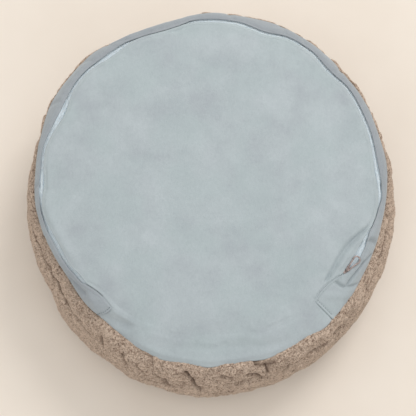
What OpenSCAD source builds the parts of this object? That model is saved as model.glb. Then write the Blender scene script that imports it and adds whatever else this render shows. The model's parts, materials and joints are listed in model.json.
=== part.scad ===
// Round pet cushion bed, lying with its zipped base upwards.
// The sleeping face rests on z = 0, and +Z points out of the base.

/* [Cushion] */
// Widest radius of the curly side wall
cushion_r = 231; // [200:1:260]
// Height at the middle of the base panel
cushion_h = 134; // [120:1:150]
// Radius of the flat sleeping face
face_r = 189; // [170:1:200]
// Height of the widest part of the wall
bulge_z = 45; // [35:1:55]
// Thickness of the curly pile cloth
pile_t = 6; // [4:0.5:8]

/* [Base] */
// Distance along Y from the wall's axis to the zip's axis
base_shift = 9; // [0:1:12]
// Radius of the level middle of the base panel
flat_r = 60; // [40:5:90]
// Drop from the middle of the base panel to the zip
crown_drop = 12; // [8:1:16]
// Thickness of the velvet
velvet_t = 0.9; // [0.6:0.1:1.2]
// Width of the facing strip seen from above
strip_w = 15; // [12:1:18]
// Slope of the cloth at its outer seam, in degrees
edge_slope = 72; // [60:1:80]
// Direction in which the facing strip starts, in degrees
strip_from = -50; // [-60:0.5:-45]
// Direction in which the facing strip ends, in degrees
strip_to = 236.5; // [225:0.5:240]

/* [Zip] */
// Radius of the zip's circle
zip_r = 196; // [180:1:205]
// Gap between the two velvet lips over the zip
slit_w = 2.4; // [2.2:0.1:3]
// Distance from the middle of the zip to the outer side of each coil row
coil_half_w = 2; // [1.8:0.1:2.2]
// Gap between the two coil rows
coil_gap = 1.5; // [1.4:0.1:1.8]
// Width of each tape
tape_w = 12; // [10:1:16]
// Direction in which the coil rows start, in degrees
zip_from = -37.5; // [-40:0.5:-37]
// Direction in which the coil rows end, in degrees
zip_to = 234.5; // [220:0.5:235]

/* [Slider] */
// Direction of the slider at the closed end, in degrees
slider_at = -34.6; // [-35:0.1:-20]
// Length of the slider body
slider_l = 10.6; // [9:0.1:12]
// Width of the slider body at its nose
slider_w = 5.8; // [5.6:0.1:6]
// Distance from the pull's hinge to the middle of its round end
pull_reach = 16.4; // [14:0.1:20]
// Radius of the pull's round end
pull_end_r = 4.9; // [4.4:0.1:5.5]
// Width of metal round the pull's loop
pull_rim = 1.4; // [1.2:0.1:1.8]

/* [Inner case] */
// Clearance from the pile cloth to the inner case
case_gap = 1; // [0.5:0.5:2]
// Thickness of the inner case's cloth
case_t = 1; // [0.6:0.2:1.4]

/* [Hidden] */
$fn = 96;

VELVET = [0.71, 0.75, 0.75];
PILE = [0.66, 0.57, 0.50];
ZIP_BLUE = [0.80, 0.86, 0.90];
METAL = [0.62, 0.55, 0.53];
CASE_WHITE = [0.92, 0.92, 0.90];
THREAD = [0.60, 0.66, 0.68];

// The base cloth: a crowned round, then a shoulder of one arc
crown_power = 3;
crown_reach = zip_r - flat_r;
zip_z = cushion_h - crown_drop;
zip_slope = atan(crown_power * crown_drop / crown_reach);
crown_bend = crown_power * (crown_power - 1) * crown_drop / pow(crown_reach, 2);
shoulder_r = strip_w / (sin(edge_slope) - sin(zip_slope));
seam_gap = 1;
cloth_edge_r = zip_r + strip_w - seam_gap / 2;
wall_edge_r = zip_r + strip_w + seam_gap / 2;
thread_r = 0.4;

// Heights at the zip, from the outer face of the velvet down to the slider's under plate
plate_clear = 0.5;
plate_t = 0.6;
coil_clear = 0.25;
coil_t = 1.4;
coil_seat = 0.1;
tape_t = 0.5;
tape_clear = 0.4;
under_t = 0.7;
plate_top = -velvet_t - plate_clear;
coil_top = plate_top - plate_t - coil_clear;
tape_top = coil_top - coil_t - coil_seat;
under_top = tape_top - tape_t - tape_clear;

// The tape is flat under the coil, then climbs to lie against the velvet
tape_flat = 3.5;
tape_climb = 2.5;
tape_seat = -velvet_t - 0.35;
tape_bend = 0.3;

// The slider's bridge and the pull that hangs on it
bridge_half_w = 0.7;
bridge_out = 2.6;
bridge_in = 1.6;
hinge_z = 0.8;
bar_r = 0.5;
bridge_head = 2.1;
bridge_soffit = 1.4;
pull_t = 0.9;
eye_far = 3.3;
arm_in = 1.2;
arm_out = 2.2;

// The wall's outline: how full its upper and lower quarters are
wall_reach = cushion_r - face_r - 1;
wall_rise = 66;
upper_power = 0.55;
lower_power = 0.8;
wall_steps = 9;
wall_end = 84;
case_crown = 124;

// Height of the base cloth's outer face inside the zip
function crown_z(r) = cushion_h - crown_drop * pow(max(0, r - flat_r) / crown_reach, crown_power);

// Point of the shoulder where its slope is s, depth d below the outer face
function shoulder(s, d) = [
    zip_r + shoulder_r * (sin(s) - sin(zip_slope)) - d * sin(s),
    zip_z - shoulder_r * (cos(zip_slope) - cos(s)) - d * cos(s)
];

// Slopes along the shoulder, starting at the velvet's outer lip
lip_slope = asin(sin(zip_slope) + slit_w / 2 / shoulder_r);
closed_gap = 0.4;
closed_slope = asin(sin(zip_slope) - (slit_w / 2 - closed_gap) / shoulder_r);
last_slope = asin(sin(zip_slope) + (strip_w - seam_gap / 2) / shoulder_r);
shoulder_steps = 8;
end_gap = 0.15;
tongue_root = 0.5;
closed_short = 0.5;
function slopes(first) = [
    for (i = [0 : shoulder_steps]) first + (last_slope - first) * i / shoulder_steps
];

// Closed outline of a cloth band on the shoulder, between depths d1 and d2
function shoulder_band(first, d1, d2) = concat(
    [for (s = slopes(first)) shoulder(s, d1)],
    [for (i = [shoulder_steps : -1 : 0]) shoulder(slopes(first)[i], d2)]
);

// Outline of the pile wall, inset by d, from the foot to the top
function wall_line(d) = concat(
    [for (i = [0 : wall_steps])
        let (t = 90 * i / wall_steps)
        [face_r + 1 + (wall_reach - d) * pow(sin(t), lower_power),
         bulge_z - (bulge_z - d) * pow(cos(t), lower_power)]],
    [for (i = [1 : wall_steps])
        let (t = wall_end * i / wall_steps)
        [face_r + 1 + (wall_reach - d) * pow(cos(t), upper_power),
         bulge_z + (wall_rise - d) * pow(sin(t), upper_power)]]
);
function reversed(line) = [for (i = [len(line) - 1 : -1 : 0]) line[i]];

// The inner case keeps its distance inside the wall, and stops at case_steps_up
case_foot = pile_t + case_gap;
case_steps_up = 8;
case_seam = 0.8;
case_steps = 12;
function case_side(d) = [
    for (i = [0 : wall_steps + case_steps_up]) wall_line(case_foot + d)[i]
];
case_foot_r = case_side(0)[0][0];
case_top_r = case_side(0)[wall_steps + case_steps_up][0];
case_top_z = case_side(0)[wall_steps + case_steps_up][1];
function case_crown_z(r) = case_crown - (case_crown - case_top_z) * pow(r / case_top_r, crown_power);
CASE_RADII = [for (i = [0 : case_steps]) (case_top_r - case_seam) * i / case_steps];
lip_r = zip_r - slit_w / 2;
crown_steps = 14;
CROWN_RADII = concat([0], [for (i = [0 : crown_steps]) flat_r + (lip_r - flat_r) * i / crown_steps]);

// Rows of stitching beside the zip, out from its middle, and how far they stop short of its ends
topstitch_in = 8;
CLOSED_ROWS = [-2.4, 1.4];
closed_row_short = 0.7;

// Threads that lie within the cloth: their depths below its outer face
end_thread_half_angle = 0.06;
end_thread_top = 0.2;
end_thread_foot = 0.7;
closing_thread_top = 2;
closing_thread_foot = 3;
closing_thread_short = 1;

// Turns a profile about the zip's axis, from one direction to another
module about_zip(from, to) {
    translate([0, base_shift, 0])
        rotate([0, 0, from])
        rotate_extrude(angle = to - from, $fn = 180)
        children();
}

// Places a flat outline in the zip's own section, tilted with the cloth
module zip_section() {
    translate([zip_r, zip_z])
        rotate(-zip_slope)
        children();
}

// Places a solid on the zip, x outwards, y along the zip and z out of the cloth
module on_zip(direction) {
    translate([0, base_shift, 0])
        rotate([0, 0, direction])
        translate([zip_r, 0, zip_z])
        rotate([0, zip_slope, 0])
        children();
}

// The round of velvet inside the zip, and its tongue out to the wall
module base_panel() {
    root_r = lip_r - tongue_root;
    color(VELVET) {
        translate([0, base_shift, 0])
            rotate_extrude($fn = 180)
            polygon(concat(
                [for (r = CROWN_RADII) [r, crown_z(r)]],
                [for (r = reversed(CROWN_RADII)) [r, crown_z(r) - velvet_t]]
            ));
        about_zip(strip_to + end_gap, 360 + strip_from - end_gap)
            polygon(concat(
                [[root_r, crown_z(root_r)]],
                [for (s = slopes(lip_slope)) shoulder(s, 0)],
                [for (i = [shoulder_steps : -1 : 0]) shoulder(slopes(lip_slope)[i], velvet_t)],
                [[root_r, crown_z(root_r) - velvet_t]]
            ));
    }
}

// The velvet strip between the zip and the wall, closed against the base past the zip
module facing_strip() {
    color(VELVET) {
        about_zip(strip_from + end_gap, strip_to - end_gap)
            polygon(shoulder_band(lip_slope, 0, velvet_t));
        about_zip(strip_from + end_gap, zip_from - closed_short)
            polygon(shoulder_band(closed_slope, 0, velvet_t));
    }
}

// One woven tape, flat under the coil and then up to the velvet it is sewn to
module zip_tape(side) {
    first = coil_gap / 2;
    climbed = tape_flat + tape_climb;
    color(ZIP_BLUE)
        about_zip(zip_from, zip_to)
        zip_section()
        mirror([side < 0 ? 1 : 0, 0])
        polygon([
            [first, tape_top],
            [tape_flat, tape_top],
            [climbed, tape_seat - sag(side, climbed)],
            [tape_w, tape_seat - sag(side, tape_w)],
            [tape_w, tape_seat - tape_t - sag(side, tape_w)],
            [climbed, tape_seat - tape_t - sag(side, climbed)],
            [tape_flat + tape_bend, tape_top - tape_t],
            [first, tape_top - tape_t]
        ]);
}

// How far the cloth falls below the zip's tangent at a distance to one side
function sag(side, x) = side > 0
    ? shoulder_r - sqrt(pow(shoulder_r, 2) - pow(x, 2))
    : crown_bend * pow(x, 2) / 2;

module zip_tape_inner() {
    zip_tape(-1);
}

module zip_tape_outer() {
    zip_tape(1);
}

// One row of nylon coil, as its outer envelope
module zip_coil(side) {
    color(ZIP_BLUE)
        about_zip(zip_from, zip_to)
        zip_section()
        mirror([side < 0 ? 1 : 0, 0])
        translate([coil_gap / 2, coil_top - coil_t])
        square([coil_half_w - coil_gap / 2, coil_t]);
}

module zip_coil_inner() {
    zip_coil(-1);
}

module zip_coil_outer() {
    zip_coil(1);
}

// Flat plate of the slider: wide at the nose, narrower at the tail
module slider_outline() {
    tail_w = slider_w - 1;
    nose = slider_l / 2;
    corner = 1.3;
    polygon([
        [-slider_w / 2, -nose + corner],
        [-slider_w / 2 + corner, -nose],
        [slider_w / 2 - corner, -nose],
        [slider_w / 2, -nose + corner],
        [slider_w / 2, 0],
        [tail_w / 2, nose],
        [-tail_w / 2, nose],
        [-slider_w / 2, 0]
    ]);
}

// Two plates round the coil rows, joined by the post that parts the rows
module slider_body() {
    flange_foot = tape_top + 0.35;
    channel_w = 2 * coil_half_w + 0.6;
    post_w = 0.7;
    post_l = 2.8;
    post_in = 0.6;
    bite = 0.1;
    color(METAL)
        on_zip(slider_at) {
            difference() {
                translate([0, 0, flange_foot])
                    linear_extrude(plate_top - flange_foot)
                    slider_outline();
                translate([-channel_w / 2, -slider_l, flange_foot - 1])
                    cube([channel_w, 2 * slider_l, plate_top - plate_t - flange_foot + 1]);
            }
            translate([0, 0, under_top - under_t])
                linear_extrude(under_t)
                slider_outline();
            translate([-post_w / 2, -slider_l / 2 + post_in, under_top - bite])
                cube([post_w, post_l, plate_top - plate_t - under_top + 2 * bite]);
            slider_bridge();
        }
}

// The arch on the top plate that holds the pull
module slider_bridge() {
    leg = bridge_out - bridge_in;
    bite = 0.2;
    for (end = [-bridge_out, bridge_in])
        translate([-bridge_half_w, end, plate_top - bite])
            cube([2 * bridge_half_w, leg, bridge_head - plate_top + bite]);
    translate([-bridge_half_w, -bridge_out, bridge_soffit])
        cube([2 * bridge_half_w, 2 * bridge_out, bridge_head - bridge_soffit]);
}

// Two circles on the Y axis and the straight sides that touch both
module teardrop(big_r, big_y, small_r, small_y) {
    lean = asin((big_r - small_r) / (big_y - small_y));
    translate([0, big_y])
        circle(big_r);
    translate([0, small_y])
        circle(small_r);
    polygon([
        [-small_r * cos(lean), small_y - small_r * sin(lean)],
        [small_r * cos(lean), small_y - small_r * sin(lean)],
        [big_r * cos(lean), big_y - big_r * sin(lean)],
        [-big_r * cos(lean), big_y - big_r * sin(lean)]
    ]);
}

// Teardrop loop with an eye at its narrow end, hung on the bridge by a round bar
module slider_pull() {
    color(METAL)
        on_zip(slider_at)
        translate([0, 0, hinge_z]) {
            neck = eye_far + arm_out;
            hole_l = 6.5;
            translate([-arm_out, 0, 0])
                rotate([0, 90, 0])
                cylinder(h = 2 * arm_out, r = bar_r, $fn = 32);
            translate([0, 0, -pull_t / 2])
                linear_extrude(pull_t)
                difference() {
                    union() {
                        teardrop(pull_end_r, pull_reach, arm_out, neck);
                        translate([-arm_out, 0])
                            square([2 * arm_out, neck]);
                    }
                    teardrop(pull_end_r - pull_rim, pull_reach, 1, pull_reach - hole_l);
                    translate([-arm_in, 0])
                        square([2 * arm_in, eye_far]);
                }
        }
}

// The curly band round the side, open by a seam's width at the back
module side_wall() {
    seam_angle = 2 * asin(seam_gap / 2 / cushion_r);
    color(PILE)
        difference() {
            rotate([0, 0, 90 + seam_angle / 2])
                rotate_extrude(angle = 360 - seam_angle, $fn = 180)
                polygon(concat(wall_line(0), reversed(wall_line(pile_t))));
            translate([0, base_shift, bulge_z])
                cylinder(h = cushion_h, r = wall_edge_r, $fn = 180);
        }
}

// The curly round that the pet lies on, which is the foot here
module sleeping_panel() {
    color(PILE)
        cylinder(h = pile_t, r = face_r, $fn = 180);
}

// Thread rings in the two round seams
module base_edge_thread() {
    color(THREAD)
        translate([0, base_shift, 0])
        rotate_extrude($fn = 180)
        translate([zip_r + strip_w, shoulder(last_slope, velvet_t)[1]])
        circle(r = thread_r, $fn = 24);
}

module face_edge_thread() {
    color(THREAD)
        rotate_extrude($fn = 180)
        translate([face_r + 0.5, pile_t / 2])
        circle(r = thread_r, $fn = 24);
}

// Thread in the wall's own closing seam, following the wall's outline
module wall_closing_thread() {
    thread_angle = 2 * asin(thread_r / 2 / cushion_r);
    color(THREAD)
        difference() {
            rotate([0, 0, 90 - thread_angle / 2])
                rotate_extrude(angle = thread_angle, $fn = 180)
                polygon(concat(wall_line(closing_thread_top), reversed(wall_line(closing_thread_foot))));
            translate([0, base_shift, bulge_z])
                cylinder(h = cushion_h, r = wall_edge_r + closing_thread_short, $fn = 180);
        }
}

// Thread rows that hold the velvet to the tapes
module zip_thread(x, side) {
    color(THREAD)
        about_zip(zip_from, zip_to)
        zip_section()
        translate([side * x, -sag(side, x)])
        circle(r = thread_r, $fn = 24);
}

module zip_thread_inner() {
    zip_thread(topstitch_in, -1);
}

module zip_thread_outer() {
    zip_thread(topstitch_in, 1);
}

// Thread in the seam at each end of the facing strip
module strip_end_thread(direction) {
    color(THREAD)
        about_zip(direction - end_thread_half_angle, direction + end_thread_half_angle)
        polygon(shoulder_band(lip_slope, end_thread_top, end_thread_foot));
}

module strip_end_thread_left() {
    strip_end_thread(strip_to);
}

module strip_end_thread_right() {
    strip_end_thread(strip_from);
}

// Two rows of stitching on the closed seam past the slider
module closed_seam_thread() {
    color(THREAD)
        for (x = CLOSED_ROWS)
            about_zip(strip_from + closed_row_short, zip_from - closed_row_short)
            zip_section()
            translate([x, -sag(x, x)])
            circle(r = thread_r, $fn = 24);
}

// Upper round of the inner case
module inner_case_base() {
    color(CASE_WHITE)
        rotate_extrude($fn = 180)
        polygon(concat(
            [for (r = CASE_RADII) [r, case_crown_z(r)]],
            [for (r = reversed(CASE_RADII)) [r, case_crown_z(r) - case_t]]
        ));
}

// Band of the inner case
module inner_case_band() {
    color(CASE_WHITE)
        rotate_extrude($fn = 180)
        polygon(concat(case_side(0), reversed(case_side(case_t))));
}

// Lower round of the inner case
module inner_case_face() {
    color(CASE_WHITE)
        translate([0, 0, case_foot])
        cylinder(h = case_t, r = case_foot_r - case_seam, $fn = 180);
}

// Fibre that fills the inner case
module fibre_filling() {
    skin = case_t + 0.4;
    side = case_side(skin);
    top_r = side[len(side) - 1][0];
    color("white")
        rotate_extrude($fn = 180)
        polygon(concat(
            [[0, case_foot + skin]],
            side,
            [for (i = [case_steps - 1 : -1 : 0])
                let (r = top_r * i / case_steps)
                [r, case_crown_z(r) - skin]]
        ));
}

base_panel();
facing_strip();
zip_tape_inner();
zip_tape_outer();
zip_coil_inner();
zip_coil_outer();
slider_body();
slider_pull();
side_wall();
sleeping_panel();
base_edge_thread();
face_edge_thread();
wall_closing_thread();
zip_thread_inner();
zip_thread_outer();
strip_end_thread_left();
strip_end_thread_right();
closed_seam_thread();
inner_case_base();
inner_case_band();
inner_case_face();
fibre_filling();
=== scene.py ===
"""Round pet cushion bed, lying with its zipped velvet base upwards.

Shape functions work in millimetres in the CAD model's frame, and new_piece turns them into metres.
Angles run anticlockwise from +X as seen from above, in degrees. The velvet is laid out round the
zip's own axis, and the curly wall round the Z axis, because the soft cover has slipped a little.
"""
import json
from math import asin, atan2, copysign, cos, degrees, hypot, pi, radians, sin

import bpy
import numpy as np
from mathutils import Matrix, Vector


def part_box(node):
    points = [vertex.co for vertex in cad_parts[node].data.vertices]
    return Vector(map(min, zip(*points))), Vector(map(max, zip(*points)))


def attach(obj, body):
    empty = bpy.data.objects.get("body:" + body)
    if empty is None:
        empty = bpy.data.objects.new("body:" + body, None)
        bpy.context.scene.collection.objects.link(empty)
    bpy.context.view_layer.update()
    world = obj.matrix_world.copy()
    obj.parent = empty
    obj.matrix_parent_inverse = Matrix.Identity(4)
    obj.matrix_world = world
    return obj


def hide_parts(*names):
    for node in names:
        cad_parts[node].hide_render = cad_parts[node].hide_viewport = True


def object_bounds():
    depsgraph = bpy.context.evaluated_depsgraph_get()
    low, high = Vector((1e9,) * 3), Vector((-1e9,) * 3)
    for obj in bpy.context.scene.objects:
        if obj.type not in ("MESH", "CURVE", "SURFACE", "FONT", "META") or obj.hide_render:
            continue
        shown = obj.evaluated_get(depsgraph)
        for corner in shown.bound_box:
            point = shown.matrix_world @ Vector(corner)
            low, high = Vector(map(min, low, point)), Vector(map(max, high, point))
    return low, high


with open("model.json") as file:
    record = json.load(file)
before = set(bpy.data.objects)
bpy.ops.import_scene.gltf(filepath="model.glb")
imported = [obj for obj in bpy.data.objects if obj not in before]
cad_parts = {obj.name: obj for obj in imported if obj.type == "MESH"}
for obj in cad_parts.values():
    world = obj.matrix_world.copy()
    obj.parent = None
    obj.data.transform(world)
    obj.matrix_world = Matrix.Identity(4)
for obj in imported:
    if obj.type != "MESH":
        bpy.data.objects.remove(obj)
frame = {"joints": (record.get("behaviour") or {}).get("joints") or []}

MM = 0.001
cad_box = [list(corner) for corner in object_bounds()]


# -------- what the frame gives

def far_corner(node):
    """Highest corner of a CAD node, in mm."""
    return np.array(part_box(node)[1]) / MM


JOINTS = {joint["name"]: joint for joint in frame["joints"]}
ZIP_AXIS = np.array(JOINTS["zip_travel"]["pos_m"]) / MM
HINGE = np.array(JOINTS["pull_flip"]["pos_m"]) / MM
CROWN_TOP = far_corner("base_panel")[2]
WALL_R = far_corner("side_wall")[0]
FACE_R = far_corner("sleeping_panel")[0]

# The crown's rule and the hinge's height over the zip, as the CAD model has them
FLAT_R = 60.0
CROWN_DROP = 12.0
CROWN_POWER = 3
HINGE_LIFT = 0.8
ZIP_Z = CROWN_TOP - CROWN_DROP
SLIDER_AT = degrees(atan2(HINGE[1] - ZIP_AXIS[1], HINGE[0] - ZIP_AXIS[0]))
HINGE_R = hypot(HINGE[0] - ZIP_AXIS[0], HINGE[1] - ZIP_AXIS[1])
ZIP_SLOPE = asin((HINGE_R - round(HINGE_R)) / HINGE_LIFT)
ZIP_R = float(round(HINGE_R))
FAR_END = SLIDER_AT + JOINTS["zip_travel"]["range_deg"][1]

# Length of one degree along the zip's circle and along the wall
ZIP_DEGREE = radians(1) * ZIP_R
WALL_DEGREE = radians(1) * WALL_R


# -------- numbers round the bed

def round_table(points, blur):
    """A value round the bed from (angle, value) pairs, joined and smoothed over blur degrees."""
    angles = np.arange(0, 360, 0.25)
    values = np.interp(angles, [a for a, _ in points], [v for _, v in points], period=360)
    steps = np.arange(-int(12 * blur), int(12 * blur) + 1)
    weights = np.exp(-(steps * 0.25 / blur) ** 2)
    weights /= weights.sum()
    smooth = sum(w * np.roll(values, k) for k, w in zip(steps, weights))
    return lambda angle: np.interp(angle, angles, smooth, period=360)


# How far the soft zip wanders out of its circle
zip_shift = round_table([
    (2, 2.3), (4, 1.4), (8, 1.0), (15, 1.3), (25, 1.2), (32, 2.0), (35, 1.7), (37.5, 0.2), (40, -2.2),
    (43, -3.1), (46, -3.0), (48, -1.5), (50, 0.2), (53, 1.9), (60, 1.9), (63, 0.9), (65, -0.6),
    (67, -3.0), (69, -5.0), (71, -6.1), (73, -6.1), (75, -5.1), (77, -4.0), (79, -2.5), (82, -1.4),
    (91, -1.0), (98, -1.0), (101, -3.0), (103, -5.0), (106, -6.3), (109, -6.8), (112, -6.3), (115, -5.0),
    (118, -3.8), (122, -2.6), (127, -3.4), (130, -3.9), (133, -3.3), (136, -1.5), (138, -0.2), (141, 1.2),
    (145, 1.6), (148, 1.0), (150, 0.1), (152, -1.2), (154, -2.3), (158, -4.2), (160, -4.0), (162, -3.0),
    (164, -1.7), (166, -0.3), (168, 1.4), (170, 3.0), (173, 4.7), (176, 5.0), (179, 4.2), (182, 3.6),
    (185, 4.2), (187, 4.8), (190, 6.5), (192, 7.6), (194, 8.4), (196, 8.0), (198, 7.0), (202, 5.0),
    (206, 2.8), (208, 2.2), (212, 2.4), (216, 2.2), (218, 1.4), (219.5, 0.3), (220.5, 0), (222.5, 0),
    (223.5, -0.3), (226, -2.5), (228, -3.9), (230, -4.6), (232, -4.3), (234, -3.0), (236.2, -0.6),
    (240, 0), (306, 0), (308, -1.0), (310.3, -3.0), (312.5, -5.6), (314.5, -6.8), (317.5, -6.8),
    (320, -5.4), (322, -3.0), (323.4, -1.0), (325, 0), (327, 0.2), (329.5, 1.2), (332, 2.1), (338, 2.1),
    (341, 2.0), (343, 4.0), (345, 5.0), (347, 6.0), (350, 6.6), (352, 7.5), (354, 7.6), (356, 7.0),
    (358, 5.6), (360, 3.9)], 0.5)

# Half the gap between the lips over the zip
half_slit = round_table([
    (0, 3.5), (2, 3.4), (4, 3.0), (8, 2.4), (15, 2.3), (25, 2.2), (30, 2.0), (50, 1.9), (63, 2.0),
    (71, 2.2), (83, 2.5), (95, 2.2), (99, 1.4), (101, 0.5), (104, 0.35), (119, 0.35), (121.5, 1.1),
    (124, 2.3), (130, 3.2), (134, 2.8), (137, 2.1), (142, 1.9), (150, 1.9), (153, 2.5), (156, 3.2),
    (160, 3.6), (162, 3.2), (166, 2.5), (170, 2.3), (179, 2.5), (181, 2.9), (183, 3.6), (185, 4.2),
    (187, 3.9), (188.5, 3.2), (190, 2.5), (192, 1.9), (194.5, 1.4), (196.5, 1.2), (199, 2.0), (202, 2.6),
    (211, 2.5), (214, 2.1), (218, 2.0), (220, 2.3), (222.8, 2.2), (223.7, 1.2), (224.6, 0.5), (226, 0.35),
    (235, 0.35), (236.5, 0.2), (240, 0.02), (322.4, 0.02), (323.4, 0.8), (324.4, 1.7), (327, 2.4),
    (330, 3.3), (332, 3.5), (335, 3.3), (338, 2.5), (340, 1.7), (342, 0.9), (343.5, 0.5), (350, 0.6),
    (351.5, 1.4), (353, 2.6), (356, 3.5)], 0.4)

# Radius of the roll in which the velvet turns down over the shoulder
roll_radius = round_table([
    (0, 22), (6, 24), (16, 19.5), (27, 21.5), (37, 19.5), (48, 20.5), (59, 25), (69, 25.5),
    (80, 21.5), (91, 23), (102, 11), (113, 7.5), (123, 13), (134, 27), (145, 25.5), (156, 27),
    (167, 19), (178, 16.5), (188, 19.5), (199, 17), (209, 13), (218, 12.5), (228, 19), (236, 21),
    (240, 28), (246, 45), (252, 90), (258, 200), (300, 200), (306, 160), (311, 110), (316, 65),
    (321, 38), (326, 27), (335, 22.5), (345, 20)], 2.0)

# Width of the velvet from the zip to the wall's seam, along the cloth
cloth_width = round_table([
    (0, 28), (228, 28), (232, 26), (236, 22.5), (240, 22.5), (243, 24), (247, 26), (252, 28.5), (257, 31),
    (262, 30.8), (265, 30.2), (268, 31.8), (271, 33), (273.5, 32), (276, 30.5), (278, 31), (281, 29.8),
    (283, 29.8), (285, 31.3), (288, 32.5), (291, 32), (296, 30), (302, 28.6), (304, 29.5), (307, 30.8),
    (309, 30), (312, 27.6), (318, 26.8), (321, 27.5), (326, 28)], 0.7)

# The wall's widest radius about Z, and the height where it is widest
wall_reach = round_table([
    (0, 226.5), (10, 224.5), (20, 222.5), (30, 223), (40, 224), (90, 224), (130, 223), (150, 219),
    (160, 217.5), (170, 220), (181, 225), (191, 225.5), (202, 227), (212, 226), (222, 233.5), (232, 234),
    (242, 237.5), (253, 241), (267, 244), (272, 245), (282, 242), (292, 241), (302, 238), (312, 236),
    (322, 233.5), (332, 230.5), (342, 230.5), (352, 227)], 2.5)
WIDEST_Z = 42.0

# Height and depth of the fold that runs round the wall
fold_z = round_table([
    (0, 84), (90, 80), (180, 83), (190, 86), (205, 88), (215, 88), (224, 86), (232, 84), (240, 84),
    (270, 84), (292, 90), (300, 93), (308, 90), (328, 90), (338, 94), (345, 92), (356, 86)], 2.0)
fold_depth = round_table([
    (0, 6), (20, 4), (50, 5), (90, 4), (130, 5.5), (170, 4.5), (190, 6), (212, 6.5), (223, 6.5),
    (227, 4.5), (233, 3), (240, 1), (262, 1.5), (280, 1), (292, 2.5), (299, 5), (304, 6), (309, 3),
    (316, 7), (322, 3.5), (327, 6.5), (334, 4), (338, 6.5), (341, 2.5), (345, 7.5), (356, 6.5)], 1.2)

# How far the strip is painted darker, from 0 to 1: painted shade for how its nap, turned from the base's,
# takes the light
strip_nap_shade = round_table([
    (0, 1), (210, 0.8), (222, 1), (230, 0.6), (236, 0.3), (310, 0), (322, 0.15), (330, 0.5), (345, 0.8)], 3)

# How far the velvet puffs up on both sides of the zip
zip_puff = round_table([
    (0, 0.8), (50, 1.0), (120, 0.8), (160, 1.0), (196, 1.0), (204, 1.5), (214, 1.4), (218, 0.2),
    (220, 0), (240, 0), (306, 0), (336, 0), (343, 0.8)], 1.5)

# The strip's run round the zip, the velvet's thickness and the height of its rolled lips
STRIP_FROM = -50.0
STRIP_TO = 236.4
STRIP_RUN = STRIP_TO - STRIP_FROM
STRIP_MIDDLE = (STRIP_FROM + STRIP_TO) / 2
CLOTH_T = 0.65
LIP_TOP = -0.12


# -------- noise

def scrambled(cell, seed):
    """A well mixed whole number for each cell of a lattice."""
    mixed = cell[:, 0] * 73856093 ^ cell[:, 1] * 19349663 ^ cell[:, 2] * 83492791 ^ seed * 40503
    mixed = (mixed & 0xFFFFFFFF).astype(np.uint64)
    for factor in (0x2C1B3C6D, 0x297A2D39):
        mixed ^= mixed >> np.uint64(15)
        mixed = mixed * np.uint64(factor) & np.uint64(0xFFFFFFFF)
    return mixed ^ (mixed >> np.uint64(15))


def noise(points, size, seed=0):
    """Smooth noise of about -1 to 1 at each point, with lumps about as large as size."""
    place = points / size + 100.37
    cell = np.floor(place).astype(np.int64)
    inner = place - cell
    fade = inner ** 3 * (inner * (inner * 6 - 15) + 10)
    total = np.zeros(len(points))
    for corner in np.ndindex(2, 2, 2):
        mixed = scrambled(cell + corner, seed)
        slopes = np.stack([(mixed >> np.uint64(s) & np.uint64(1023)) / 511.5 - 1 for s in (0, 10, 20)], 1)
        share = np.where(corner, fade, 1 - fade).prod(1)
        total += share * (slopes * (inner - corner)).sum(1)
    return total * 1.5


def layered(points, layers):
    """Several layers of noise in one, each given as (height, size, seed)."""
    return sum(height * noise(points, size, seed) for height, size, seed in layers)


def curls(points, size, seed):
    """Height from 0 to 1 of short tangled strands, with pits between them that the pile's material paints
    dark as shade.
    """
    bent = points + 0.5 * size * np.stack([noise(points, size * 1.3, seed + k) for k in (1, 2, 3)], 1)
    height = np.zeros(len(points))
    for layer in range(3):
        ridge = 1 - np.abs(noise(bent, size, seed + 10 + layer)) / 0.32
        height = np.maximum(height, np.clip(ridge, 0, 1) * (1 - 0.12 * layer))
    return height ** 0.8


# -------- the velvet's surface

def bell(away, width):
    """1 where away is 0, fading softly to both sides."""
    return np.exp(-(away / width) ** 2)


def eased(share):
    """A share from 0 to 1 with a soft start and end."""
    return share ** 2 * (3 - 2 * share)


def turn_from(start, angle):
    """How far an angle is from a starting one, from -180 to 180 degrees."""
    return (angle - start + 180) % 360 - 180


def about_zip(r, rad, z):
    """Points about the zip's axis, from radii, angles in radians and heights."""
    return np.stack([r * np.cos(rad) + ZIP_AXIS[0], r * np.sin(rad) + ZIP_AXIS[1], z], -1)


def valley(along, out, line, depth, width):
    """Depth of a soft groove along a line of points, on a surface laid flat."""
    nearest = np.full(along.shape, 1e9)
    for (ax, ay), (bx, by) in zip(line[:-1], line[1:]):
        dx, dy = bx - ax, by - ay
        share = np.clip(((along - ax) * dx + (out - ay) * dy) / (dx ** 2 + dy ** 2), 0, 1)
        nearest = np.minimum(nearest, np.hypot(along - ax - share * dx, out - ay - share * dy))
    return depth * bell(nearest, width)


# Folds in the velvet, each as (angle, distance out of the zip's circle) points, depth and width:
# first those inside the zip and on its near side, then those of the strip
VELVET_FOLDS = [
    ([(344.5, 5), (343, 2.5), (341.5, -1), (340, -4), (338, -8), (335, -12), (332, -14.5), (329, -15.5),
      (325, -14.5), (321, -12), (318, -10)], 4.4, 2.8),
    ([(339, -2.5), (334, -6.5), (329, -8.5), (325, -8)], -1.0, 2.6),
    ([(180, -2), (184, -2.5), (188, -2)], 0.9, 1.8),
    ([(99, -6), (102, -9), (105, -11), (108, -10)], 1.4, 2.4),
    ([(225.5, -5), (229, -8)], 0.7, 2.6),
    ([(237.5, 14), (240.5, 10.5), (243.5, 8.5)], 3.6, 7.0),
    ([(236, -7), (239, -5)], 0.6, 4.0),
    ([(262, 12), (270, 10), (280, 10.5), (290, 17), (296, 21)], 0.7, 4.5),
    ([(250, 21), (256, 24), (266, 25), (284, 25), (292, 26)], -0.9, 4.0),
    ([(156, -14), (160, -12), (165, -12)], -0.7, 3.0),
    ([(308.9, 14), (309.3, 4), (309.2, -4)], 0.7, 1.4),
]

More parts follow.
